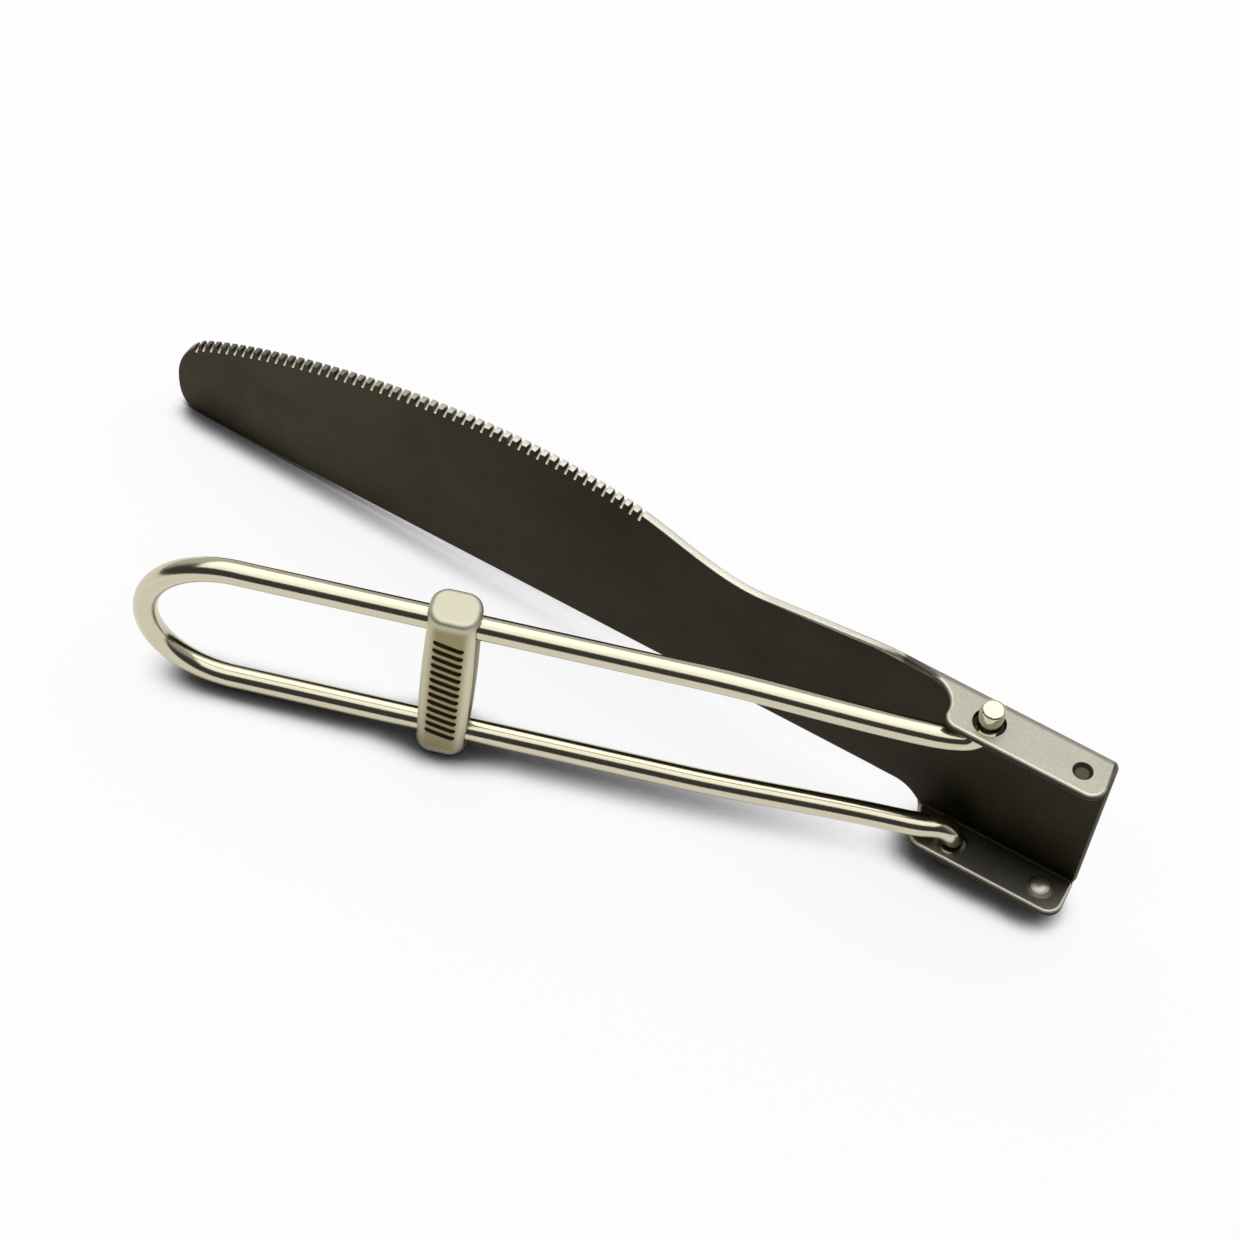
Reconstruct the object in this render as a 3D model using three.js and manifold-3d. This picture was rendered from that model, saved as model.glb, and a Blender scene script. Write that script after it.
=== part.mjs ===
import * as THREE from 'three';
import { mergeVertices } from 'three/addons/utils/BufferGeometryUtils.js';
import Module from 'manifold-3d';

// Folding camping knife: a sheet blade whose root is folded into a channel, a wire loop for a
// handle and a band that slides on the loop. Millimetres, +Z up. The pivot axis runs along Z,
// the blade reaches toward -X and the channel opens toward -Y.

// Sheet of the blade and its channel
const sheet = 0.9;
const bendInside = 0.3;

// Channel, measured from the pivot axis where it says reach
const channelWidth = 21.3;
const buttReach = 12.9;
const mouthReach = 4.1;
const webReach = 2.45;
const rimReach = 2.45;
const rimCornerRadius = 1.5;
const buttCornerRadius = 1.7;
const filletLength = 4.0;
const filletHeight = 3.0;
const pivotBore = 3.3;

// Dimples that hold the open handle
const dimpleReach = 10;
const craterDiameter = 2.0;
const craterDepth = 0.55;
const bumpDiameter = 2.4;
const bumpHeight = 0.6;

// Blade outline: reaches run from the pivot axis, heights from the channel's lower face
const tipReach = 95.1;
const tipHeight = 7.3;
const spineHeight = 2.4;
const spineCornerReach = 91.1;
const shoulderReach = 92;
const shoulderHeight = 13.5;
const shoulderSlope = THREE.MathUtils.degToRad(30);
const heelReach = 38.6;
const heelHeight = 21.55;
const heelSlope = THREE.MathUtils.degToRad(16.6);
const neckReach = 25.6;
const neckHeight = 18.9;

// How far each outline point pulls the curve on its two sides
const tipPullUp = 2.9;
const tipPullDown = 5.0;
const spineCornerPull = 2.0;
const shoulderTipPull = 1.4;
const shoulderBellyPull = 10;
const heelBellyPull = 19;
const heelNeckPull = 4.2;
const neckPull = 4.5;

// Notched edge, measured along the edge from the heel and from the tip
const notchPitch = 1.088;
const firstNotch = 1.72;
const plainTip = 5.6;
const notchFloorWidth = 0.34;
const notchFlankLean = THREE.MathUtils.degToRad(9);
const notchFrontDepth = 1.0;
const notchSlope = THREE.MathUtils.degToRad(26);

// Wire loop
const wireDiameter = 2.5;
const pinStickOut = 2.3;
const cornerRadius = 2.2;
const legSpanAtPins = 15.1;
const legSpan = 16.9;
const flareStart = 6;
const flareEnd = 28;
const legStep = 0.55;
const legStepEnd = 4.5;
const loopStart = 74;
const loopLength = 9.2;
const restFold = THREE.MathUtils.degToRad(18.66);

// Sliding band
const bandWall = 0.9;
const bandPlay = 0.2;
const bandWidth = 5.8;
const bandEndWidth = 5.2;
const bandEdgeRadius = 1.5;
const bandOuterCorner = 0.5;
const bandInnerCorner = 0.3;
const bandReach = 52.3;

// Overrun of every cutter past what it cuts
const overrun = 1;

// Corners closer than the weld are one, and so are columns closer than a share of the sheet
const weld = 0.00001;
const columnGapShare = 0.01;

// Facets
const bendSteps = 4;
const arcSteps = 8;
const curveSteps = 20;
const boreSides = 32;
const wireSides = 16;
const loopSteps = 22;
const legSteps = 6;
const rise = Math.PI / 2;

const bendOutside = bendInside + sheet;
const bendMiddle = bendInside + sheet / 2;
const halfChannel = channelWidth / 2;
const titanium = { metalness: 1, roughness: 0.42 };

const wasm = await Module();
wasm.setup();

function toSolid(geometry) {
  const bare = geometry.index ? geometry.toNonIndexed() : geometry.clone();
  bare.deleteAttribute('normal');
  bare.deleteAttribute('uv');
  const merged = mergeVertices(bare, weld);
  const corners = Array.from(merged.index.array);
  const triVerts = [];
  for (let i = 0; i < corners.length; i += 3) {
    const [a, b, c] = corners.slice(i, i + 3);
    if (a !== b && b !== c && c !== a) triVerts.push(a, b, c);
  }
  return new wasm.Manifold(new wasm.Mesh({
    numProp: 3,
    vertProperties: new Float32Array(merged.attributes.position.array),
    triVerts: new Uint32Array(triVerts),
  }));
}

function toGeometry(solid) {
  const mesh = solid.getMesh();
  const geometry = new THREE.BufferGeometry();
  geometry.setAttribute('position', new THREE.BufferAttribute(mesh.vertProperties, mesh.numProp));
  geometry.setIndex(new THREE.BufferAttribute(mesh.triVerts, 1));
  geometry.computeVertexNormals();
  return geometry;
}

function named(name, solid, color) {
  const mesh = new THREE.Mesh(toGeometry(solid), new THREE.MeshStandardMaterial({ ...titanium, color }));
  mesh.name = name;
  return mesh;
}

// Outline of the flat blank, tip to butt, as points of reach and developed height. Heights past
// the bend lines run on round the bend and along the flange.
const bendLength = bendMiddle * rise;
const flangeLength = webReach - bendInside + rimReach;
const rimHeight = channelWidth - bendOutside + bendLength + flangeLength;
const point = (reach, height) => new THREE.Vector2(-reach, height);

function pulled(from, angle, pull) {
  return new THREE.Vector2(from.x + pull * Math.cos(angle), from.y + pull * Math.sin(angle));
}

const tip = point(tipReach, tipHeight);
const shoulder = point(shoulderReach, shoulderHeight);
const heel = point(heelReach, heelHeight);
const neck = point(neckReach, neckHeight);
const spineCorner = point(spineCornerReach, spineHeight);
const filletTop = point(mouthReach + filletLength, channelWidth);
const neckSlope = filletTop.clone().sub(neck).angle();
const foldStart = (neck.x + filletTop.x) / 2;

const tipCurve = new THREE.CubicBezierCurve(
  tip, pulled(tip, rise, tipPullUp), pulled(shoulder, shoulderSlope, -shoulderTipPull), shoulder);
const bellyCurve = new THREE.CubicBezierCurve(
  shoulder, pulled(shoulder, shoulderSlope, shoulderBellyPull),
  pulled(heel, -heelSlope, -heelBellyPull), heel);
const neckCurve = new THREE.CubicBezierCurve(
  heel, pulled(heel, -heelSlope, heelNeckPull), pulled(neck, neckSlope, -neckPull), neck);
const spineCurve = new THREE.CubicBezierCurve(
  tip, pulled(tip, rise, -tipPullDown), pulled(spineCorner, 0, -spineCornerPull), spineCorner);

function ellipsePoints(centre, radiusX, radiusY, start, end, steps = arcSteps) {
  const arc = new THREE.EllipseCurve(centre.x, centre.y, radiusX, radiusY, start, end, end < start);
  return arc.getPoints(steps);
}

// One flange's side of the blank, from the foot of the fillet round both rim corners to the butt
function flangeOutline(foot, filletRise) {
  const filletCentre = new THREE.Vector2(-mouthReach - filletLength, foot.y + filletRise);
  const mouthCorner = new THREE.Vector2(-mouthReach + rimCornerRadius, rimHeight - rimCornerRadius);
  const buttCorner = new THREE.Vector2(buttReach - buttCornerRadius, rimHeight - buttCornerRadius);
  return [
    ...ellipsePoints(filletCentre, filletLength, filletRise, -rise, 0),
    ...ellipsePoints(mouthCorner, rimCornerRadius, rimCornerRadius, Math.PI, rise),
    ...ellipsePoints(buttCorner, buttCornerRadius, buttCornerRadius, rise, 0),
  ];
}

// The lower flange mirrors the upper one about the channel's middle
const mirror = (p) => new THREE.Vector2(p.x, channelWidth - p.y);
const spineFoot = mirror(new THREE.Vector2(filletTop.x, spineHeight));
const upperOutline = [
  ...tipCurve.getPoints(arcSteps),
  ...bellyCurve.getPoints(curveSteps),
  ...neckCurve.getPoints(arcSteps),
  ...flangeOutline(filletTop, filletHeight),
];
const lowerOutline = [
  ...spineCurve.getPoints(arcSteps),
  ...flangeOutline(spineFoot, filletHeight + channelWidth - spineFoot.y).map(mirror),
];

function heightAt(outline, x) {
  const next = outline.findIndex((p) => p.x >= x);
  if (next <= 0) return outline[0].y;
  const a = outline[next - 1];
  const b = outline[next];
  return a.y + (b.y - a.y) * (x - a.x) / (b.x - a.x);
}

// Height lines of the blank that a bend turns about, lower bend first
function bendLines() {
  const upper = [];
  for (let i = 0; i <= bendSteps; i += 1) {
    upper.push(channelWidth - bendOutside + bendLength * i / bendSteps);
  }
  return [...upper.map((height) => channelWidth - height).reverse(), ...upper];
}

// Place in the folded sheet of a blank point, at a depth through the sheet from its inner face
function foldedPlace(x, height, depth) {
  const flat = new THREE.Vector3(x, webReach + depth, height);
  const side = height < halfChannel ? -1 : 1;
  const past = Math.abs(height - halfChannel) - (halfChannel - bendOutside);
  if (past <= 0) return flat;
  const turn = Math.min(past / bendMiddle, rise);
  const radius = bendInside + depth;
  const alongFlange = Math.max(past - bendLength, 0);
  const folded = new THREE.Vector3(
    x,
    webReach - bendInside + radius * Math.cos(turn) - alongFlange,
    halfChannel + side * (halfChannel - bendOutside + radius * Math.sin(turn)));
  const share = THREE.MathUtils.smoothstep(x, foldStart, filletTop.x);
  return flat.lerp(folded, share);
}

// The whole sheet, bent, as columns of points across the blank at each reach
function foldedSheet() {
  const reaches = [...upperOutline, ...lowerOutline].map((p) => p.x).sort((a, b) => a - b);
  const gap = sheet * columnGapShare;
  const columns = reaches.filter((x, i) => i === 0 || x - reaches[i - 1] > gap);
  columns[columns.length - 1] = buttReach;
  const lines = bendLines();
  const rows = columns.map((x) => {
    const low = heightAt(lowerOutline, x);
    const high = heightAt(upperOutline, x);
    const inner = lines.map((height, i) => {
      if (x < foldStart) return i < lines.length / 2 ? low : high;
      return THREE.MathUtils.clamp(height, low, high);
    });
    return [low, ...inner, high];
  });
  const place = (column, row, depth) => foldedPlace(columns[column], rows[column][row], depth);
  const positions = [];
  const quad = (a, b, c, d) => {
    for (const p of [a, b, c, a, c, d]) positions.push(p.x, p.y, p.z);
  };
  const last = columns.length - 1;
  const top = lines.length + 1;
  for (let i = 0; i < last; i += 1) {
    for (let j = 0; j < top; j += 1) {
      quad(place(i, j, 0), place(i + 1, j, 0), place(i + 1, j + 1, 0), place(i, j + 1, 0));
      quad(place(i, j, sheet), place(i, j + 1, sheet), place(i + 1, j + 1, sheet), place(i + 1, j, sheet));
    }
    quad(place(i, 0, 0), place(i, 0, sheet), place(i + 1, 0, sheet), place(i + 1, 0, 0));
    quad(place(i, top, 0), place(i + 1, top, 0), place(i + 1, top, sheet), place(i, top, sheet));
  }
  for (let j = 0; j < top; j += 1) {
    quad(place(last, j, 0), place(last, j, sheet), place(last, j + 1, sheet), place(last, j + 1, 0));
  }
  const geometry = new THREE.BufferGeometry();
  geometry.setAttribute('position', new THREE.Float32BufferAttribute(positions, 3));
  return toSolid(geometry);
}

// A round pit or bump: a cap of a sphere on a short stem, its base at the origin, rising along +Z
function cap(diameter, height, stem) {
  const radius = diameter / 2;
  const sphere = (radius * radius + height * height) / (2 * height);
  const profile = [new THREE.Vector2(0, -stem), new THREE.Vector2(radius, -stem)];
  for (let i = 0; i <= arcSteps; i += 1) {
    const r = radius * Math.cos(rise * i / arcSteps);
    const z = Math.sqrt(sphere * sphere - r * r) - sphere + height;
    profile.push(new THREE.Vector2(i === arcSteps ? 0 : r, z));
  }
  return new THREE.LatheGeometry(profile, boreSides).rotateX(rise);
}

// One notch's cutter: its floor climbs from the sheet's inner face to its outer face
function notchCutter(edge) {
  const length = (sheet + overrun + overrun) / Math.cos(notchSlope);
  const depth = (notchFrontDepth + overrun) * Math.cos(notchSlope) + overrun;
  const floor = notchFloorWidth / 2;
  const mouth = floor + depth * Math.tan(notchFlankLean);
  const outline = new THREE.Shape();
  outline.moveTo(mouth, depth);
  outline.lineTo(-mouth, depth);
  outline.lineTo(-floor, floor);
  outline.absarc(0, floor, floor, Math.PI, Math.PI * 2, false);
  outline.closePath();
  const geometry = new THREE.ExtrudeGeometry(
    outline, { depth: length, bevelEnabled: false, curveSegments: bendSteps });
  geometry.translate(0, 0, -overrun / Math.cos(notchSlope)).rotateZ(Math.PI);
  geometry.rotateX(notchSlope - rise).translate(edge.x, webReach, edge.y - notchFrontDepth);
  return toSolid(geometry);
}

function notches() {
  const edge = new THREE.CurvePath();
  edge.add(tipCurve);
  edge.add(bellyCurve);
  const length = edge.getLength();
  const cutters = [];
  for (let place = firstNotch; place < length - plainTip; place += notchPitch) {
    cutters.push(notchCutter(edge.getPoint(1 - place / length)));
  }
  return cutters;
}

function bladeSolid() {
  let solid = foldedSheet();
  for (const side of [-1, 1]) {
    const outer = halfChannel + side * halfChannel;
    const inner = outer - side * sheet;
    const facing = (geometry, turn) => (turn < 0 ? geometry.rotateX(Math.PI) : geometry);
    const bump = facing(cap(bumpDiameter, bumpHeight, sheet / 2), -side);
    const crater = facing(cap(craterDiameter, craterDepth, overrun), -side);
    bump.translate(dimpleReach, 0, inner);
    crater.translate(dimpleReach, 0, outer);
    const bore = new THREE.CylinderGeometry(pivotBore / 2, pivotBore / 2, sheet + overrun, boreSides);
    bore.rotateX(rise).translate(0, 0, (inner + outer) / 2);
    solid = solid.add(toSolid(bump)).subtract(toSolid(crater)).subtract(toSolid(bore));
  }
  for (const cutter of notches()) solid = solid.subtract(cutter);
  return solid;
}

// Half of the space between the leg centres, at a distance from the pivot axis
function halfSpan(reach) {
  const share = THREE.MathUtils.smoothstep(reach, flareStart, flareEnd);
  return THREE.MathUtils.lerp(legSpanAtPins, legSpan, share) / 2;
}

// The legs stand a step in front of the pivot axis, so that they lie clear of the web when open
function stepAt(reach) {
  return -legStep * THREE.MathUtils.smoothstep(reach, 0, legStepEnd);
}

function legPlace(reach, side) {
  return new THREE.Vector3(-reach, stepAt(reach), side * halfSpan(reach));
}

function legStations(side) {
  const pinRoot = legSpanAtPins / 2 + cornerRadius;
  const pinEnd = halfChannel + pinStickOut;
  const stations = [pinEnd, (pinEnd + pinRoot) / 2].map((z) => new THREE.Vector3(0, 0, side * z));
  for (let i = 0; i <= legSteps; i += 1) {
    const turn = rise * i / legSteps;
    const reach = cornerRadius * (1 - Math.cos(turn));
    const height = pinRoot - cornerRadius * Math.sin(turn);
    stations.push(new THREE.Vector3(-reach, stepAt(reach), side * height));
  }
  const runs = [[cornerRadius, legStepEnd], [legStepEnd, flareEnd], [flareEnd, loopStart]];
  for (const [from, to] of runs) {
    for (let i = 1; i <= legSteps; i += 1) {
      stations.push(legPlace(from + (to - from) * i / legSteps, side));
    }
  }
  return stations;
}

function loopStations() {
  const stations = [];
  for (let i = 1; i < loopSteps; i += 1) {
    const turn = Math.PI * i / loopSteps;
    stations.push(new THREE.Vector3(
      -loopStart - loopLength * Math.sin(turn), -legStep, legSpan / 2 * Math.cos(turn)));
  }
  return stations;
}

// A smooth curve whose sections fall on its stations, so that the tight corners get short steps
class StationCurve extends THREE.CatmullRomCurve3 {
  getPointAt(u, target) {
    return this.getPoint(u, target);
  }

  getTangentAt(u, target) {
    return this.getTangent(u, target);
  }
}

function handleSolid() {
  const stations = [...legStations(1), ...loopStations(), ...legStations(-1).reverse()];
  const section = new THREE.Shape();
  section.absarc(0, 0, wireDiameter / 2, 0, Math.PI * 2, false);
  return toSolid(new THREE.ExtrudeGeometry(section, {
    steps: stations.length - 1,
    extrudePath: new StationCurve(stations, false, 'centripetal'),
    curveSegments: wireSides / 2,
  }));
}

function roundedBox(width, height, radius, path = new THREE.Shape()) {
  const x = width / 2 - radius;
  const y = height / 2 - radius;
  path.moveTo(x + radius, -y);
  path.absarc(x, y, radius, 0, rise, false);
  path.absarc(-x, y, radius, rise, Math.PI, false);
  path.absarc(-x, -y, radius, Math.PI, rise * 3, false);
  path.absarc(x, -y, radius, rise * 3, rise * 4, false);
  return path;
}

function centredExtrude(shape, depth) {
  const options = { depth, bevelEnabled: false, curveSegments: bendSteps };
  return new THREE.ExtrudeGeometry(shape, options).translate(0, 0, -depth / 2);
}

// Band centred on its own origin: width along X, depth along Y, height along Z
function bandSolid() {
  const innerDepth = wireDiameter + bandPlay * 2;
  const innerHeight = legSpan + wireDiameter + bandPlay * 2;
  const depth = innerDepth + bandWall * 2;
  const height = innerHeight + bandWall * 2;
  const ring = roundedBox(depth, height, bandOuterCorner);
  ring.holes.push(roundedBox(innerDepth, innerHeight, bandInnerCorner, new THREE.Path()));
  const loop = centredExtrude(ring, bandWidth).rotateY(rise).rotateX(rise);
  const plan = centredExtrude(roundedBox(bandWidth, depth, bandEdgeRadius), height);
  const barrel = new THREE.Shape();
  barrel.moveTo(-bandEndWidth / 2, -height / 2);
  barrel.lineTo(bandEndWidth / 2, -height / 2);
  barrel.quadraticCurveTo(bandWidth - bandEndWidth / 2, 0, bandEndWidth / 2, height / 2);
  barrel.lineTo(-bandEndWidth / 2, height / 2);
  barrel.quadraticCurveTo(bandEndWidth / 2 - bandWidth, 0, -bandEndWidth / 2, -height / 2);
  const side = new THREE.ExtrudeGeometry(
    barrel, { depth, bevelEnabled: false, curveSegments: arcSteps }).translate(0, 0, -depth / 2);
  return toSolid(loop).intersect(toSolid(plan)).intersect(toSolid(side.rotateX(rise)));
}

const band = named('slide_lock', bandSolid(), 0xc9c4b6);
band.position.set(-bandReach, -legStep, 0);

const handle = new THREE.Group();
handle.position.z = halfChannel;
handle.rotation.z = restFold;
handle.add(named('wire_handle', handleSolid(), 0xcfcabd), band);

const knife = new THREE.Group();
knife.add(named('blade', bladeSolid(), 0x6d675a), handle);

// The origin is the middle of the knife's base
knife.updateMatrixWorld(true);
const extent = new THREE.Box3().setFromObject(knife, true);
const middle = extent.getCenter(new THREE.Vector3());
knife.position.set(-middle.x, -middle.y, -extent.min.z);

const group = new THREE.Group();
group.add(knife);

export default group;
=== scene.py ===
import math

import bmesh
import bpy
from mathutils import Matrix, Vector
from mathutils.geometry import interpolate_bezier
from mathutils.kdtree import KDTree


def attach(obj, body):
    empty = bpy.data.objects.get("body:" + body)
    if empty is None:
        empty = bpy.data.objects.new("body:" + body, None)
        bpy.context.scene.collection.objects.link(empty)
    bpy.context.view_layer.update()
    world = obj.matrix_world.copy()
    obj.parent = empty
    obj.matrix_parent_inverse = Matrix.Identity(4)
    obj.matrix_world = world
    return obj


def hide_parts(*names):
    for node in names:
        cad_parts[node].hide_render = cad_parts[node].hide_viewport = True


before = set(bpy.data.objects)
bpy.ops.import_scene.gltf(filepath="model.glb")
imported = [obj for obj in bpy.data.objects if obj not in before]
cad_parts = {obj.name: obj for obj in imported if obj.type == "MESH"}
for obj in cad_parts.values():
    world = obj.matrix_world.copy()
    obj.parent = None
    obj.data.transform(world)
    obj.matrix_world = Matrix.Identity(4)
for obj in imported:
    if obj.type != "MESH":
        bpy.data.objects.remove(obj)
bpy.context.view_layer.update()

print("frame loaded, nodes:", ", ".join(sorted(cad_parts)))

# Pieces are modelled in millimetres, with the pivot axis upright through x = 0, y = 0 and the
# channel's lower face at z = 0, and are put in the frame at the end.
mm = 0.001
placing = {"pivot": (41.1, 12.5094, 2.3), "fold": 18.66, "channelMiddle": 10.65}
bladePlace = Matrix.Translation(placing["pivot"])
handlePlace = (
    bladePlace
    @ Matrix.Translation((0, 0, placing["channelMiddle"]))
    @ Matrix.Rotation(math.radians(placing["fold"]), 4, "Z")
)
quarterPull = 0.5523  # how far a Bezier handle reaches along a quarter circle of radius 1


# Small helpers

def linearColour(code):
    channels = [int(code[i:i + 2], 16) / 255 for i in (1, 3, 5)]
    return [c / 12.92 if c <= 0.04045 else ((c + 0.055) / 1.055) ** 2.4 for c in channels] + [1.0]


def addNode(tree, kind, settings=None, links=None):
    node = tree.nodes.new(kind)
    for name, value in (settings or {}).items():
        if isinstance(name, int) or name in node.inputs:
            node.inputs[name].default_value = value
        else:
            setattr(node, name, value)
    for name, socket in (links or {}).items():
        tree.links.new(socket, node.inputs[name])
    return node


def startMaterial(name, **settings):
    material = bpy.data.materials.new(name)
    material.use_nodes = True
    tree = material.node_tree
    shader = tree.nodes["Principled BSDF"]
    for socket, value in settings.items():
        shader.inputs[socket].default_value = value
    return material, tree, shader


def smoothStep(value, low, high):
    share = min(max((value - low) / (high - low), 0), 1)
    return share * share * (3 - 2 * share)


def bezierLine(corners, steps):
    # corners are (place, pull before, pull after); a stretch with no pulls stays one straight edge
    points = []
    for (a, _, out), (b, into, _), count in zip(corners, corners[1:] + corners[:1], steps):
        a, b = Vector(a), Vector(b)
        if count > 1:
            points += interpolate_bezier(a, a + Vector(out), b + Vector(into), b, count + 1)[:-1]
        else:
            points.append(a)
    return points


def lathe(bm, profile, centre, steps=48):
    # profile is (radius, place along Y), from axis to axis, spun about Y
    verts = [bm.verts.new((centre[0] + r, centre[1] + y, centre[2])) for r, y in profile]
    edges = [bm.edges.new(pair) for pair in zip(verts, verts[1:])]
    bmesh.ops.spin(
        bm, geom=verts + edges, cent=centre, axis=(0, 1, 0), angle=math.tau, steps=steps,
        use_merge=True)
    bmesh.ops.remove_doubles(bm, verts=bm.verts, dist=1e-4)
    bmesh.ops.recalc_face_normals(bm, faces=bm.faces)


def temporaryObject(bm, name, emptySlots=0):
    mesh = bpy.data.meshes.new(name)
    bm.to_mesh(mesh)
    bm.free()
    for _ in range(emptySlots):
        mesh.materials.append(None)
    piece = bpy.data.objects.new(name, mesh)
    bpy.context.scene.collection.objects.link(piece)
    return piece


def cutWith(piece, cutterMesh, operation, name):
    # the faces that the cutter leaves keep the material slots of the cutter's own faces
    cutter = temporaryObject(cutterMesh, name, emptySlots=2)
    modifier = piece.modifiers.new(name, "BOOLEAN")
    modifier.operation = operation
    modifier.solver = "EXACT"
    modifier.object = cutter
    depsgraph = bpy.context.evaluated_depsgraph_get()
    result = bpy.data.meshes.new_from_object(piece.evaluated_get(depsgraph))
    piece.modifiers.clear()
    piece.data = result
    bpy.data.objects.remove(cutter)


def finishPiece(bm, name, place, body, node, materials, sharpAngle):
    bmesh.ops.transform(bm, matrix=Matrix.Scale(mm, 4) @ place, verts=bm.verts)
    for edge in bm.edges:
        edge.smooth = edge.calc_face_angle(0) < math.radians(sharpAngle)
    for face in bm.faces:
        face.smooth = True
    piece = temporaryObject(bm, name)
    for material in materials:
        piece.data.materials.append(material)
    weighted = piece.modifiers.new("evenNormals", "WEIGHTED_NORMAL")
    weighted.keep_sharp = True
    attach(piece, body)
    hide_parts(node)
    print(f"{name}: {len(piece.data.polygons)} faces")


# Materials

# Blasted titanium sheet. Glass beads leave a fine even grain that scatters light. Light and shade
# are painted into its colour: the blade and the channel's web carry a painted shade that looks nearly
# black, the flanges' outer faces are painted paler as lit faces, and the cut edges palest as highlights.
blasted = {
    # the dark pair is a painted shade and the pale pair a painted light, on one titanium
    "dark": ("#363023", "#4b4535"), "paintedLight": ("#c2beaf", "#d4d1c1"),
    "darkRoughness": 0.55, "paintedLightRoughness": 0.42,
    "rootShade": 0.6, "rootFrom": -45, "rootTo": 5,  # mm along the blade; painted shade, darker at the root
    "beadPit": 0.22,    # mm, about twice the real 0.1 so that it shows
    "mottle": 6.0,      # mm
    "pitDepth": 0.004,  # mm
}


def blastedTitanium():
    material, tree, shader = startMaterial("blastedTitanium", Metallic=1.0)
    place = addNode(tree, "ShaderNodeTexCoord").outputs["Object"]
    # painted light and shade: the attribute read here gives the share of the pale lit tone over the dark
    # shaded tone
    paintedLight = addNode(tree, "ShaderNodeAttribute", {"attribute_name": "paintedLight"}).outputs["Fac"]
    pits = addNode(tree, "ShaderNodeTexNoise", {
        "Scale": 1 / (blasted["beadPit"] * mm), "Detail": 2.0, "Roughness": 0.6}, {"Vector": place})
    mottle = addNode(tree, "ShaderNodeTexNoise", {
        "Scale": 1 / (blasted["mottle"] * mm), "Detail": 3.0, "Roughness": 0.55}, {"Vector": place})
    both = addNode(tree, "ShaderNodeMath", {"operation": "MULTIPLY_ADD", 1: 0.6}, {
        0: mottle.outputs["Fac"], 2: pits.outputs["Fac"]})
    share = addNode(tree, "ShaderNodeMapRange", {"From Min": 0.55, "From Max": 1.05}, {
        "Value": both.outputs["Value"]})
    tones = [addNode(tree, "ShaderNodeMix", {
        "data_type": "RGBA", 6: linearColour(low), 7: linearColour(high)}, {
        0: share.outputs["Result"]}).outputs[2] for low, high in (blasted["dark"], blasted["paintedLight"])]
    # painted shade: the dark tone is darkened further toward the blade's root
    along = addNode(tree, "ShaderNodeSeparateXYZ", {}, {0: place}).outputs["X"]
    root = addNode(tree, "ShaderNodeMapRange", {
        "interpolation_type": "SMOOTHSTEP", "From Min": blasted["rootFrom"] * mm,
        "From Max": blasted["rootTo"] * mm, "To Min": 1.0, "To Max": blasted["rootShade"]}, {
        "Value": along}).outputs["Result"]
    tones[0] = addNode(tree, "ShaderNodeVectorMath", {"operation": "SCALE"}, {
        0: tones[0], "Scale": root}).outputs[0]
    colour = addNode(tree, "ShaderNodeMix", {"data_type": "RGBA"}, {
        0: paintedLight, 6: tones[0], 7: tones[1]})
    roughness = addNode(tree, "ShaderNodeMapRange", {
        "To Min": blasted["darkRoughness"], "To Max": blasted["paintedLightRoughness"]}, {"Value": paintedLight})
    bump = addNode(tree, "ShaderNodeBump", {
        "Strength": 0.6, "Distance": blasted["pitDepth"] * mm}, {"Height": pits.outputs["Fac"]})
    tree.links.new(colour.outputs[2], shader.inputs["Base Color"])
    tree.links.new(roughness.outputs["Result"], shader.inputs["Roughness"])
    tree.links.new(bump.outputs["Normal"], shader.inputs["Normal"])
    return material


# Fresh metal in the ground notches: bright, with the fine scratches of the wheel.
ground = {"colour": "#c6c2af", "light": "#f2eddb", "roughness": 0.3, "scratch": 0.08}


def groundTitanium():
    material, tree, shader = startMaterial("groundTitanium", Metallic=1.0, Roughness=ground["roughness"])
    place = addNode(tree, "ShaderNodeTexCoord").outputs["Object"]
    scratches = addNode(tree, "ShaderNodeTexNoise", {
        "Scale": 1 / (ground["scratch"] * mm), "Detail": 2.0}, {"Vector": place})
    colour = addNode(tree, "ShaderNodeMix", {
        "data_type": "RGBA", 6: linearColour(ground["colour"]), 7: linearColour(ground["light"])}, {
        0: scratches.outputs["Fac"]})
    tree.links.new(colour.outputs[2], shader.inputs["Base Color"])
    return material


# Drawn titanium wire, polished by handling: fine lines from the die run along it.
drawn = {
    "colour": "#c4bca1", "light": "#dad3bd", "roughness": 0.17,
    "lineWidth": 0.12,   # mm across the wire
    "lineLength": 9.0,   # mm along it
    "lineDepth": 0.0015,  # mm
}


def drawnTitanium():
    material, tree, shader = startMaterial("drawnTitanium", Metallic=1.0, Roughness=drawn["roughness"])
    along = addNode(tree, "ShaderNodeAttribute", {"attribute_name": "drawn"}).outputs["Vector"]
    lines = addNode(tree, "ShaderNodeTexNoise", {
        "Scale": 1 / drawn["lineWidth"], "Detail": 2.0, "Roughness": 0.6}, {"Vector": along})
    colour = addNode(tree, "ShaderNodeMix", {
        "data_type": "RGBA", 6: linearColour(drawn["colour"]), 7: linearColour(drawn["light"])}, {
        0: lines.outputs["Fac"]})
    bump = addNode(tree, "ShaderNodeBump", {
        "Strength": 0.5, "Distance": drawn["lineDepth"] * mm}, {"Height": lines.outputs["Fac"]})
    tree.links.new(colour.outputs[2], shader.inputs["Base Color"])
    tree.links.new(bump.outputs["Normal"], shader.inputs["Normal"])
    return material


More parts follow.
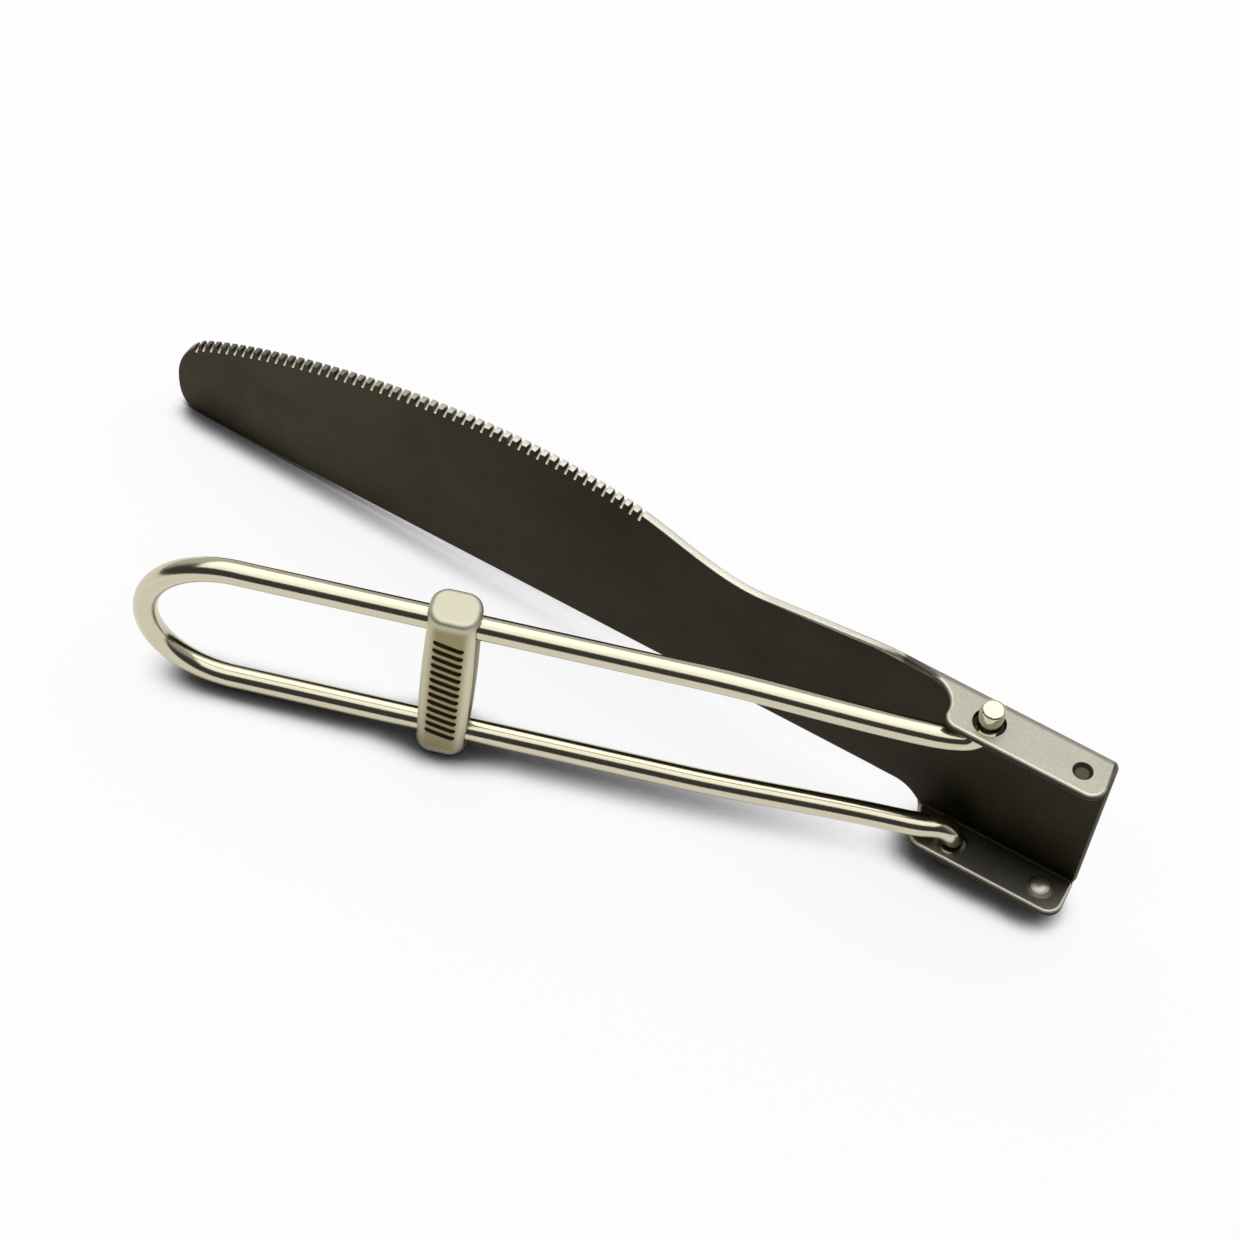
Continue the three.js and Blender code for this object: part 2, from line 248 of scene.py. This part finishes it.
# Tumbled titanium strip: softer and paler than the blade, with painted highlights on its edges and ends.
tumbled = {
    # the edge and end colours are painted highlights
    "colour": "#8b825d", "light": "#a79e78", "edge": "#e7e2c8", "end": "#c6c3ad", "roughness": 0.5,
    "faceHalf": (1.2, 2.5), "faceReach": (9.2, 10.4),  # mm, where the painted highlights on the edges and ends begin
    "grain": 0.3,        # mm
    "grainDepth": 0.005,  # mm
}


def tumbledTitanium():
    material, tree, shader = startMaterial("tumbledTitanium", Metallic=1.0, Roughness=tumbled["roughness"])
    place = addNode(tree, "ShaderNodeTexCoord").outputs["Object"]
    grain = addNode(tree, "ShaderNodeTexNoise", {
        "Scale": 1 / (tumbled["grain"] * mm), "Detail": 3.0, "Roughness": 0.6}, {"Vector": place})
    face = addNode(tree, "ShaderNodeMix", {
        "data_type": "RGBA", 6: linearColour(tumbled["colour"]), 7: linearColour(tumbled["light"])}, {
        0: grain.outputs["Fac"]})
    onBand = addNode(tree, "ShaderNodeAttribute", {"attribute_name": "onBand"}).outputs["Vector"]
    away = addNode(tree, "ShaderNodeSeparateXYZ", {}, {
        0: addNode(tree, "ShaderNodeVectorMath", {"operation": "ABSOLUTE"}, {0: onBand}).outputs[0]})
    fades = [addNode(tree, "ShaderNodeMapRange", {
        "interpolation_type": "SMOOTHSTEP", "From Min": low, "From Max": high}, {
        "Value": away.outputs[axis]}).outputs["Result"]
        for axis, (low, high) in (("X", tumbled["faceHalf"]), ("Z", tumbled["faceReach"]))]
    # painted highlight: the rounded side edges turn near white, the end caps pale
    paintedEdgeHighlight = addNode(tree, "ShaderNodeMix", {"data_type": "RGBA", 7: linearColour(tumbled["edge"])}, {
        0: fades[0], 6: face.outputs[2]})
    colour = addNode(tree, "ShaderNodeMix", {"data_type": "RGBA", 7: linearColour(tumbled["end"])}, {
        0: fades[1], 6: paintedEdgeHighlight.outputs[2]})
    bump = addNode(tree, "ShaderNodeBump", {
        "Strength": 0.5, "Distance": tumbled["grainDepth"] * mm}, {"Height": grain.outputs["Fac"]})
    tree.links.new(colour.outputs[2], shader.inputs["Base Color"])
    tree.links.new(bump.outputs["Normal"], shader.inputs["Normal"])
    return material


# Dull brown titanium in the floors and walls of the pressed grip lines: painted shade in the recesses.
gripShade = {"colour": "#463323", "light": "#6b533a", "roughness": 0.6, "grain": 0.25}


def gripShadeTitanium():
    material, tree, shader = startMaterial("gripShadeTitanium", Metallic=0.6, Roughness=gripShade["roughness"])
    place = addNode(tree, "ShaderNodeTexCoord").outputs["Object"]
    grain = addNode(tree, "ShaderNodeTexNoise", {
        "Scale": 1 / (gripShade["grain"] * mm), "Detail": 2.0}, {"Vector": place})
    colour = addNode(tree, "ShaderNodeMix", {
        "data_type": "RGBA", 6: linearColour(gripShade["colour"]), 7: linearColour(gripShade["light"])}, {
        0: grain.outputs["Fac"]})
    tree.links.new(colour.outputs[2], shader.inputs["Base Color"])
    return material


sheetMetal = blastedTitanium()
groundMetal = groundTitanium()
wireMetal = drawnTitanium()
bandMetal = tumbledTitanium()
gripShadeMetal = gripShadeTitanium()
print("materials made")

# Blade: blanked, rounded, punched and notched flat, then its root is folded into a channel

blade = {
    "sheet": 0.9, "bendInside": 0.3, "width": 21.3, "buttReach": 12.9, "mouthReach": 4.1,
    "webReach": 2.45, "rimReach": 2.45, "rimCorner": 1.5, "buttCorner": 1.7,
    "fillet": (4.0, 3.0), "edgeRound": 0.4, "foldStart": -16.85,
    "buttWear": 0.55, "bladeEdgeShare": 0.35, "crispFrom": (8, 26),  # of the rounding, and where it shrinks
    "tip": (-95.1, 7.3), "shoulder": (-92.0, 13.5), "heel": (-38.6, 21.55), "neck": (-25.6, 18.9),
    "spine": (-91.1, 2.4), "bore": 3.3, "boreChamfer": 0.05,
    "dimple": {"x": 10, "bump": 1.2, "bumpHeight": 0.6},
    "crater": ((0, -0.4), (0.45, -0.45), (0.68, -0.42), (0.82, -0.28), (0.92, -0.1), (1.0, -0.02),
               (1.1, 0)),  # radius and height from its middle to its rim
}
notch = {
    "pitch": 1.088, "first": 1.72, "plainTip": 5.6,  # mm along the edge, from the heel and the tip
    "floor": 0.34, "lean": 9, "frontDepth": 1.0, "slope": 26, "reach": 1.6,
}
bendMiddle = blade["bendInside"] + blade["sheet"] / 2
bendLength = bendMiddle * math.pi / 2
webHalf = blade["width"] / 2 - blade["bendInside"] - blade["sheet"]
flangeLength = blade["webReach"] - blade["bendInside"] + blade["rimReach"]
rimHeight = webHalf + bendLength + flangeLength
axisHeight = webHalf + bendLength + blade["webReach"] - blade["bendInside"]
middle = blade["width"] / 2
bellyRun = ((8.66, 5.0), (-18.21, 5.43))
tipRun = ((0, 2.9), (-1.21, -0.7))


def bladeOutline():
    mouth, butt = -blade["mouthReach"], blade["buttReach"]
    run, climb = blade["fillet"]
    rim, corner = blade["rimCorner"], blade["buttCorner"]
    spineHeight = blade["spine"][1]
    none = (0, 0)

    def flange(foot, rise, side):
        z = middle + side * rimHeight
        return [
            ((mouth - run, foot), none, (run * quarterPull, 0)),
            ((mouth, foot + side * rise), (0, -side * rise * quarterPull), none),
            ((mouth, z - side * rim), none, (0, side * rim * quarterPull)),
            ((mouth + rim, z), (-rim * quarterPull, 0), none),
            ((butt - corner, z), none, (corner * quarterPull, 0)),
            ((butt, z - side * corner), (0, side * corner * quarterPull), none),
        ]

    upper = flange(blade["width"], climb, 1)
    lower = flange(spineHeight, climb + spineHeight, -1)
    corners = [
        (blade["tip"], (0, -5.0), tipRun[0]),
        (blade["shoulder"], tipRun[1], bellyRun[0]),
        (blade["heel"], bellyRun[1], (4.02, -1.2)),
        (blade["neck"], (-4.46, -0.61), none),
        *upper,
        *[(place, out, into) for place, into, out in reversed(lower)],
        (blade["spine"], none, (-2.0, 0)),
    ]
    steps = [12, 90, 24, 1, 14, 1, 8, 1, 8, 1, 8, 1, 8, 1, 14, 1, 12]  # edges in each stretch
    return bezierLine([tuple(Vector(v) for v in c) for c in corners], steps)


def flatBlank():
    bm = bmesh.new()
    face = bm.faces.new([bm.verts.new((p.x, blade["webReach"], p.y)) for p in bladeOutline()])
    raised = bmesh.ops.extrude_face_region(bm, geom=[face])["geom"]
    bmesh.ops.translate(
        bm, vec=(0, blade["sheet"], 0), verts=[v for v in raised if isinstance(v, bmesh.types.BMVert)])
    bmesh.ops.recalc_face_normals(bm, faces=bm.faces)
    rim = [e for e in bm.edges if abs(e.verts[0].co.y - e.verts[1].co.y) < 0.01]
    bmesh.ops.bevel(
        bm, geom=rim, offset=blade["edgeRound"], segments=5, profile=0.5, affect="EDGES", material=-1)
    sharpenBlade(bm)
    return temporaryObject(bm, "bladeBlank", emptySlots=2)


def sharpenBlade(bm):
    # the blade's own edges are crisper than the tumbled flanges: their rounding is drawn in
    # toward the outline
    outline = bladeOutline()
    nearest = KDTree(len(outline))
    for i, p in enumerate(outline):
        nearest.insert((p.x, 0, p.y), i)
    nearest.balance()
    for vert in bm.verts:
        corner, _, _ = nearest.find((vert.co.x, 0, vert.co.z))
        depth = vert.co.y - blade["webReach"]
        face = 0 if depth < blade["sheet"] / 2 else blade["sheet"]
        keep = 1 - (1 - blade["bladeEdgeShare"]) * smoothStep(-corner.x, *blade["crispFrom"])
        vert.co = corner + (vert.co - corner) * keep
        vert.co.y = blade["webReach"] + face + (depth - face) * keep


def domeProfile(radius, height, flare, base):
    # from the top of a dome to its foot, with a short flare that softens the foot
    ball = (radius * radius + height * height) / (2 * height)
    points = [(0, base - height)]
    for i in range(1, 9):
        r = radius * i / 8
        points.append((r, base - (math.sqrt(ball * ball - r * r) - ball + height)))
    r, y = points.pop()
    return points + [(r + flare * 0.2, base - flare * 0.3), (r + flare, base)]


def punchFlanges(piece):
    inner, outer = blade["webReach"], blade["webReach"] + blade["sheet"]
    dimple, radius, chamfer = blade["dimple"], blade["bore"] / 2, blade["boreChamfer"]
    bumps, holes = bmesh.new(), bmesh.new()
    for side in (-1, 1):
        z = middle + side * axisHeight
        dome = domeProfile(dimple["bump"], dimple["bumpHeight"], 0.25, inner)
        lathe(bumps, dome + [(dome[-1][0], inner + 0.2), (0, inner + 0.2)], (dimple["x"], 0, z))
        pit = [(r, outer + y) for r, y in blade["crater"]]
        lathe(holes, pit + [(pit[-1][0], outer + 1), (0, outer + 1)], (dimple["x"], 0, z))
        lathe(holes, [
            (0, inner - 1), (radius + chamfer, inner - 1), (radius + chamfer, inner),
            (radius, inner + chamfer), (radius, outer - chamfer),
            (radius + chamfer, outer), (radius + chamfer, outer + 1), (0, outer + 1)], (0, 0, z))
    cutWith(piece, bumps, "UNION", "dimpleBumps")
    cutWith(piece, holes, "DIFFERENCE", "boresAndCraters")


def notchStations():
    tip, shoulder, heel = (Vector(blade[k]) for k in ("tip", "shoulder", "heel"))
    bellySamples, tipSamples = 2000, 300
    edge = interpolate_bezier(
        heel, heel + Vector(bellyRun[1]), shoulder + Vector(bellyRun[0]), shoulder, bellySamples)
    edge += interpolate_bezier(
        shoulder, shoulder + Vector(tipRun[1]), tip + Vector(tipRun[0]), tip, tipSamples)[1:]
    length = sum((q - p).length for p, q in zip(edge, edge[1:]))
    stations, walked, wanted = [], 0, notch["first"]
    for p, q in zip(edge, edge[1:]):
        walked += (q - p).length
        if walked >= wanted and wanted < length - notch["plainTip"]:
            stations.append(q)
            wanted += notch["pitch"]
    return stations


def grindNotches(piece):
    # the grinding wheel's floor climbs from the front face to the back face
    slope, lean = math.radians(notch["slope"]), math.radians(notch["lean"])
    climb = Vector((0, math.cos(slope), math.sin(slope)))
    opening = Vector((0, -math.sin(slope), math.cos(slope)))
    across = Vector((1, 0, 0))
    wheel = bmesh.new()
    floor, reach = notch["floor"] / 2, notch["reach"]
    mouth = floor + reach * math.tan(lean)
    section = [(mouth, reach), (-mouth, reach)] + [
        (-floor * math.cos(t), floor - floor * math.sin(t))
        for t in (math.pi * i / 8 for i in range(9))]
    overrun = 0.4
    length = (blade["sheet"] + 2 * overrun) / math.cos(slope)
    for place in notchStations():
        start = (Vector((place.x, blade["webReach"], place.y - notch["frontDepth"]))
                 - climb * overrun / math.cos(slope))
        ring = [wheel.verts.new(start + across * x + opening * y) for x, y in section]
        face = wheel.faces.new(ring)
        raised = bmesh.ops.extrude_face_region(wheel, geom=[face])["geom"]
        bmesh.ops.translate(
            wheel, vec=climb * length, verts=[v for v in raised if isinstance(v, bmesh.types.BMVert)])
    bmesh.ops.recalc_face_normals(wheel, faces=wheel.faces)
    for face in wheel.faces:  # the floors are ground bright and also painted lit; the flanks keep the sheet's colour as painted shade
        face.material_index = 0 if abs(face.normal.x) > 0.9 else 1
    cutWith(piece, wheel, "DIFFERENCE", "notchWheel")


# shares of painted light on the blade sheet: pale where light falls or edges catch it, dark where shade
# falls
paintedLightParts = {
    "outer": 0.68, "innerRim": 0.4, "bump": 1.0, "crater": 0.1, "bore": 0.0, "webEdge": 0.12,
    "upperInner": 0.3,        # the upper flange's inner corner gets less painted highlight
    "tipEdge": 0.3, "tipFade": (55, 82),  # the edge's painted highlight fades toward the tip, in mm from the pivot
}


def paintedLightShare(place):
    # share of painted light at a place on the flat blank, against painted shade
    depth, past = place.y - blade["webReach"], abs(place.z - middle) - webHalf
    height = past + webHalf - axisHeight
    # painted shade in the bore and in the crater, painted highlight on the bump
    if math.hypot(place.x, height) < blade["bore"] / 2 + 0.02:
        return paintedLightParts["bore"]
    if math.hypot(place.x - blade["dimple"]["x"], height) < blade["crater"][-1][0] - 0.05:
        return paintedLightParts["bump" if depth < 0 else "crater"]
    grown = smoothStep(place.x, blade["foldStart"], -blade["mouthReach"])
    if 0.01 < depth < blade["sheet"] - 0.01:
        if grown > 0.5 and past < bendLength:
            return paintedLightParts["webEdge"]
        # painted highlight on the flanges' cut edges, at their corners
        toCorner = smoothStep(abs(depth / blade["sheet"] - 0.5) * 2, 0.4, 0.8)
        if place.z > middle and depth < blade["sheet"] / 2:
            toCorner *= paintedLightParts["upperInner"]
        tipHighlightFade = (1 - paintedLightParts["tipEdge"]) * smoothStep(-place.x, *paintedLightParts["tipFade"])
        return 1 - tipHighlightFade - grown * (1 - toCorner)
    # painted light on the flanges' outer faces, painted shade on their inner faces, darkest at the bend
    if depth > 0.01:
        return paintedLightParts["outer"] * smoothStep(past, 0, bendLength) * grown
    return paintedLightParts["innerRim"] * min(max(past - bendLength, 0) / flangeLength, 1) * grown


def folded(place):
    depth, past = place.y - blade["webReach"], abs(place.z - middle) - webHalf
    if past <= 0 or place.x <= blade["foldStart"]:
        return place
    side = 1 if place.z > middle else -1
    turn = min(past / bendMiddle, math.pi / 2)
    radius = blade["bendInside"] + depth
    target = Vector((
        place.x,
        blade["webReach"] - blade["bendInside"] + radius * math.cos(turn) - max(past - bendLength, 0),
        middle + side * (webHalf + radius * math.sin(turn))))
    foldEnd = -blade["mouthReach"] - blade["fillet"][0]
    return place.lerp(target, smoothStep(place.x, blade["foldStart"], foldEnd))


def wornAtButt(place):
    # tumbling wears the bends' ends back a little, most on the outside
    peak, spread, innerShare = 0.6, 1.2, 0.4  # peak and spread in bend lengths
    reach = 1.2  # mm
    along = (abs(place.z - middle) - webHalf) / bendLength
    onBend = max(0, 1 - abs(along - peak) / spread)
    through = (place.y - blade["webReach"]) / blade["sheet"]
    outside = innerShare + (1 - innerShare) * through
    atEnd = smoothStep(place.x, blade["buttReach"] - reach, blade["buttReach"])
    return Vector((place.x - blade["buttWear"] * onBend * outside * atEnd, place.y, place.z))


def foldChannel(bm):
    bendRows, neckColumns, columnWidth = 8, 18, 0.75
    for side in (-1, 1):
        for i in range(bendRows + 1):
            z = middle + side * (webHalf + bendLength * i / bendRows)
            bmesh.ops.bisect_plane(
                bm, geom=bm.verts[:] + bm.edges[:] + bm.faces[:], dist=1e-5,
                plane_co=(0, 0, z), plane_no=(0, 0, 1))
    for i in range(neckColumns):
        x = blade["foldStart"] + columnWidth * i
        bmesh.ops.bisect_plane(
            bm, geom=bm.verts[:] + bm.edges[:] + bm.faces[:], dist=1e-5,
            plane_co=(x, 0, 0), plane_no=(1, 0, 0))
    # each corner takes its share of painted light and shade from the flat blank
    paintedLight = bm.verts.layers.float.new("paintedLight")
    for vert in bm.verts:
        vert[paintedLight] = paintedLightShare(vert.co)
        vert.co = folded(wornAtButt(vert.co))


blank = flatBlank()
punchFlanges(blank)
grindNotches(blank)
sheetMesh = bmesh.new()
sheetMesh.from_mesh(blank.data)
bpy.data.objects.remove(blank)
foldChannel(sheetMesh)
finishPiece(
    sheetMesh, "bladeSheet", bladePlace, "blade", "blade",
    [sheetMetal, groundMetal], 32)

# Wire loop: one wire, bent at both ends into the pins

wire = {
    "diameter": 2.5, "pinEnd": 12.95, "pinRound": 0.35, "cornerRadius": 2.2,
    "spanAtPins": 15.1, "span": 16.9, "flare": (6, 28), "step": 0.55, "stepEnd": 4.5,
    "loopStart": 74, "loopLength": 9.2, "sides": 40,
}


def stepAt(reach):
    return -wire["step"] * smoothStep(reach, 0, wire["stepEnd"])


def legPlace(reach):
    span = wire["spanAtPins"] + (wire["span"] - wire["spanAtPins"]) * smoothStep(reach, *wire["flare"])
    return Vector((-reach, stepAt(reach), span / 2))


def wirePath():
    root, radius = wire["spanAtPins"] / 2 + wire["cornerRadius"], wire["cornerRadius"]
    half = [Vector((0, 0, wire["pinEnd"])), Vector((0, 0, wire["pinEnd"] - 1))]
    for i in range(13):
        turn = math.pi / 2 * i / 12
        reach = radius * (1 - math.cos(turn))
        half.append(Vector((-reach, stepAt(reach), root - radius * math.sin(turn))))
    half += [legPlace(radius + (wire["loopStart"] - radius) * i / 60) for i in range(1, 61)]
    for i in range(1, 25):
        turn = math.pi / 2 * i / 24
        half.append(Vector((
            -wire["loopStart"] - wire["loopLength"] * math.sin(turn), -wire["step"],
            wire["span"] / 2 * math.cos(turn))))
    lower = [Vector((p.x, p.y, -p.z)) for p in half[-2::-1]]
    return half + lower


def sectionAt(path, i):
    ahead, behind = path[min(i + 1, len(path) - 1)], path[max(i - 1, 0)]
    tangent = (ahead - behind).normalized()
    side = Vector((0, 1, 0)).cross(tangent).normalized()
    turned = Matrix((side, tangent.cross(side), tangent)).transposed().to_4x4()
    return Matrix.Translation(path[i]) @ turned


def wireMesh():
    bm = bmesh.new()
    drawnPlace = bm.verts.layers.float_vector.new("drawn")
    path = wirePath()
    radius = wire["diameter"] / 2
    last = sectionAt(path, 0)
    ring = bmesh.ops.create_circle(
        bm, cap_ends=False, segments=wire["sides"], radius=radius, matrix=last)["verts"]
    walked = 0
    first = ring
    for vert in ring:
        vert[drawnPlace] = last.inverted() @ vert.co
    for i in range(1, len(path)):
        edges = [e for e in {e for v in ring for e in v.link_edges} if all(v in ring for v in e.verts)]
        made = bmesh.ops.extrude_edge_only(bm, edges=edges)["geom"]
        ring = [v for v in made if isinstance(v, bmesh.types.BMVert)]
        here = sectionAt(path, i)
        bmesh.ops.transform(bm, matrix=here @ last.inverted(), verts=ring)
        walked += (path[i] - path[i - 1]).length
        for vert in ring:
            flat = here.inverted() @ vert.co
            vert[drawnPlace] = (flat.x, flat.y, walked * drawn["lineWidth"] / drawn["lineLength"])
        last = here
    for end in (first, ring):
        edges = [e for e in {e for v in end for e in v.link_edges} if all(v in end for v in e.verts)]
        bmesh.ops.edgeloop_fill(bm, edges=edges)
    bmesh.ops.recalc_face_normals(bm, faces=bm.faces)
    ends = [e for e in bm.edges if e.calc_face_angle(0) > 1]
    bmesh.ops.bevel(
        bm, geom=ends, offset=wire["pinRound"], segments=4, profile=0.5, affect="EDGES", material=-1)
    return bm


finishPiece(
    wireMesh(), "wireLoop", handlePlace, "handle", "wire_handle", [wireMetal], 40)

# Sliding band: strip pressed round both legs, with pressed grip lines

band = {
    "reach": 52.3, "wall": 0.9, "play": 0.2, "width": 5.8, "endWidth": 5.2, "edgeRadius": 1.95,
    "outerCorner": 0.65, "slotCorner": 0.3,
    "gripLines": 13, "gripPitch": 1.2, "gripWidth": 0.72, "gripLength": 3.2, "gripDepth": 0.3,
    "gripLean": 14,
}


def boxMesh(size, centre=(0, 0, 0)):
    bm = bmesh.new()
    bmesh.ops.create_cube(bm, size=1, matrix=Matrix.Translation(centre) @ Matrix.Diagonal((*size, 1)))
    return bm


def edgesAlong(bm, axis):
    return [e for e in bm.edges
            if abs((e.verts[0].co - e.verts[1].co).normalized()[axis]) > 0.99]


def slidingBandMesh():
    inside = (wire["diameter"] + 2 * band["play"], wire["span"] + wire["diameter"] + 2 * band["play"])
    depth, height = (d + 2 * band["wall"] for d in inside)
    body = boxMesh((band["width"], depth, height))
    bmesh.ops.bevel(
        body, geom=edgesAlong(body, 2), offset=band["edgeRadius"], segments=8, profile=0.5,
        affect="EDGES", material=-1)
    rim = [e for e in body.edges if abs(e.verts[0].co.z - e.verts[1].co.z) < 0.01]
    bmesh.ops.bevel(
        body, geom=rim, offset=band["outerCorner"], segments=4, profile=0.5, affect="EDGES", material=-1)
    for i in range(1, 20):
        bmesh.ops.bisect_plane(
            body, geom=body.verts[:] + body.edges[:] + body.faces[:], dist=1e-5,
            plane_co=(0, 0, height * (i / 20 - 0.5)), plane_no=(0, 0, 1))
    for vert in body.verts:  # barrelled: narrower at the ends
        away = min(abs(vert.co.z) * 2 / height, 1) ** 2
        vert.co.x *= 1 + (band["endWidth"] / band["width"] - 1) * away
    piece = temporaryObject(body, "bandBody", emptySlots=2)
    slot = boxMesh((band["width"] + 2, *inside))
    bmesh.ops.bevel(
        slot, geom=edgesAlong(slot, 0), offset=band["slotCorner"], segments=3, profile=0.5,
        affect="EDGES", material=-1)
    cutWith(piece, slot, "DIFFERENCE", "bandSlot")
    lines = bmesh.new()
    for i in range(band["gripLines"]):
        z = (i - (band["gripLines"] - 1) / 2) * band["gripPitch"]
        line = boxMesh((band["gripLength"], band["gripDepth"] * 2, band["gripWidth"]))
        bmesh.ops.bevel(
            line, geom=edgesAlong(line, 1), offset=band["gripWidth"] * 0.45, segments=4, profile=0.5,
            affect="EDGES", material=-1)
        bmesh.ops.transform(
            line, verts=line.verts, matrix=Matrix.Translation((0, -depth / 2, z))
            @ Matrix.Rotation(math.radians(band["gripLean"]), 4, "Y"))
        # painted shade: the pressed lines take the dull brown material
        for face in line.faces:
            face.material_index = 1
        mesh = bpy.data.meshes.new("gripLine")
        line.to_mesh(mesh)
        line.free()
        lines.from_mesh(mesh)
    cutWith(piece, lines, "DIFFERENCE", "gripLines")
    bm = bmesh.new()
    bm.from_mesh(piece.data)
    bpy.data.objects.remove(piece)
    onBand = bm.verts.layers.float_vector.new("onBand")
    for vert in bm.verts:
        vert[onBand] = vert.co
    bmesh.ops.translate(bm, vec=(-band["reach"], -wire["step"], 0), verts=bm.verts)
    return bm


finishPiece(
    slidingBandMesh(), "slidingBand", handlePlace, "band", "slide_lock",
    [bandMetal, gripShadeMetal], 40)

# Floor: a pale plane through the three places that the knife stands on

floorSettings = {
    "touch": (39.98, 13.06, 0), "normal": (0.05093, -0.02744, 0.99833),
    "size": 60000,  # mm, wide enough for low views
    "shift": 3000,  # mm aside, which keeps the floor's diagonal out of view
    "colour": "#f4f4f6",
    "glow": 0.86,  # share of the card that looks evenly white to the camera and in metal
    "shade": 5, "shadeSamples": 20,  # mm that the close shadow reaches, and its rays
    "openFrom": 0.6, "openTo": 0.86,  # share of open sky from which it fades out
}


def paleCard():
    # the camera and the metal see the card as nearly even white at strength 1, while the light
    # that falls on the knife stays plain; only the close shadow is kept in that part
    material, tree, shader = startMaterial("paleCard", Metallic=0.0, Roughness=0.9)
    shader.inputs["Base Color"].default_value = linearColour(floorSettings["colour"])
    rays = addNode(tree, "ShaderNodeLightPath").outputs
    seen = addNode(tree, "ShaderNodeMath", {"operation": "MAXIMUM"}, {
        0: rays["Is Camera Ray"], 1: rays["Is Glossy Ray"]})
    share = addNode(tree, "ShaderNodeMath", {"operation": "MULTIPLY", 1: floorSettings["glow"]}, {
        0: seen.outputs["Value"]})
    near = addNode(tree, "ShaderNodeAmbientOcclusion", {
        "samples": floorSettings["shadeSamples"], "Distance": floorSettings["shade"] * mm})
    close = addNode(tree, "ShaderNodeMapRange", {
        "interpolation_type": "SMOOTHSTEP", "From Min": floorSettings["openFrom"],
        "From Max": floorSettings["openTo"]}, {"Value": near.outputs["AO"]})
    glow = addNode(tree, "ShaderNodeEmission", {"Strength": 1.0}, {"Color": close.outputs["Result"]})
    card = addNode(tree, "ShaderNodeMixShader", {}, {
        0: share.outputs["Value"], 1: shader.outputs["BSDF"], 2: glow.outputs["Emission"]})
    tree.links.new(card.outputs["Shader"], tree.nodes["Material Output"].inputs["Surface"])
    return material


def makeFloor():
    bm = bmesh.new()
    bmesh.ops.create_grid(bm, x_segments=1, y_segments=1, size=floorSettings["size"] / 2)
    turn = Vector(floorSettings["normal"]).to_track_quat("Z", "Y").to_matrix().to_4x4()
    aside = Matrix.Translation((floorSettings["shift"], 0, 0))
    place = Matrix.Scale(mm, 4) @ Matrix.Translation(floorSettings["touch"]) @ turn @ aside
    bmesh.ops.transform(bm, matrix=place, verts=bm.verts)
    floor = temporaryObject(bm, "floor")
    floor.data.materials.append(paleCard())


makeFloor()

# Camera and lights

cameraSettings = {
    "place": (80.878, -180.868, 279.82), "turn": (37.3928, -5.9421, 29.9904), "lens": 97.55,
}
camera = bpy.data.objects.new("camera", bpy.data.cameras.new("camera"))
camera.location = Vector(cameraSettings["place"]) * mm
camera.rotation_euler = [math.radians(a) for a in cameraSettings["turn"]]
camera.data.lens = cameraSettings["lens"]
camera.data.clip_start = 0.01
bpy.context.scene.collection.objects.link(camera)
bpy.context.scene.camera = camera

softbox = {
    "place": (-20, 50, 600), "aim": (-20, 50, 0), "size": 1000,  # mm
    "brightness": 1.38,  # as seen in a mirror; with the room it lights a colour about as written
}
lamp = bpy.data.lights.new("overheadSoftbox", "AREA")
lamp.shape = "RECTANGLE"
lamp.size = lamp.size_y = softbox["size"] * mm
lamp.energy = softbox["brightness"] * math.pi * lamp.size * lamp.size_y
holder = bpy.data.objects.new("overheadSoftbox", lamp)
holder.location = Vector(softbox["place"]) * mm
toAim = Vector(softbox["aim"]) - Vector(softbox["place"])
holder.rotation_euler = toAim.to_track_quat("-Z", "Y").to_euler()
bpy.context.scene.collection.objects.link(holder)

# The room is pale behind the knife and dim in front of it, where it darkens the metal, and it
# darkens toward the horizon.
room = {"front": "#3f4043", "back": "#ccccce", "horizon": 0.35}
world = bpy.data.worlds.new("studio")
world.use_nodes = True
bpy.context.scene.world = world
tree = world.node_tree
tree.nodes.clear()
toward = addNode(tree, "ShaderNodeSeparateXYZ", {}, {
    0: addNode(tree, "ShaderNodeTexCoord").outputs["Generated"]})
behind = addNode(tree, "ShaderNodeMapRange", {
    "interpolation_type": "SMOOTHSTEP", "From Min": -0.4, "From Max": 0.3}, {
    "Value": toward.outputs["Y"]})
above = addNode(tree, "ShaderNodeMapRange", {
    "interpolation_type": "SMOOTHSTEP", "From Min": 0.02, "From Max": 0.17,
    "To Min": room["horizon"], "To Max": 1.0}, {"Value": toward.outputs["Z"]})
walls = addNode(tree, "ShaderNodeMix", {
    "data_type": "RGBA", 6: linearColour(room["front"]), 7: linearColour(room["back"])}, {
    0: behind.outputs["Result"]})
light = addNode(tree, "ShaderNodeBackground", {}, {
    "Color": walls.outputs[2], "Strength": above.outputs["Result"]})
addNode(tree, "ShaderNodeOutputWorld", {}, {"Surface": light.outputs[0]})
bpy.context.scene.view_settings.view_transform = "Standard"
print("floor, camera and lights made")
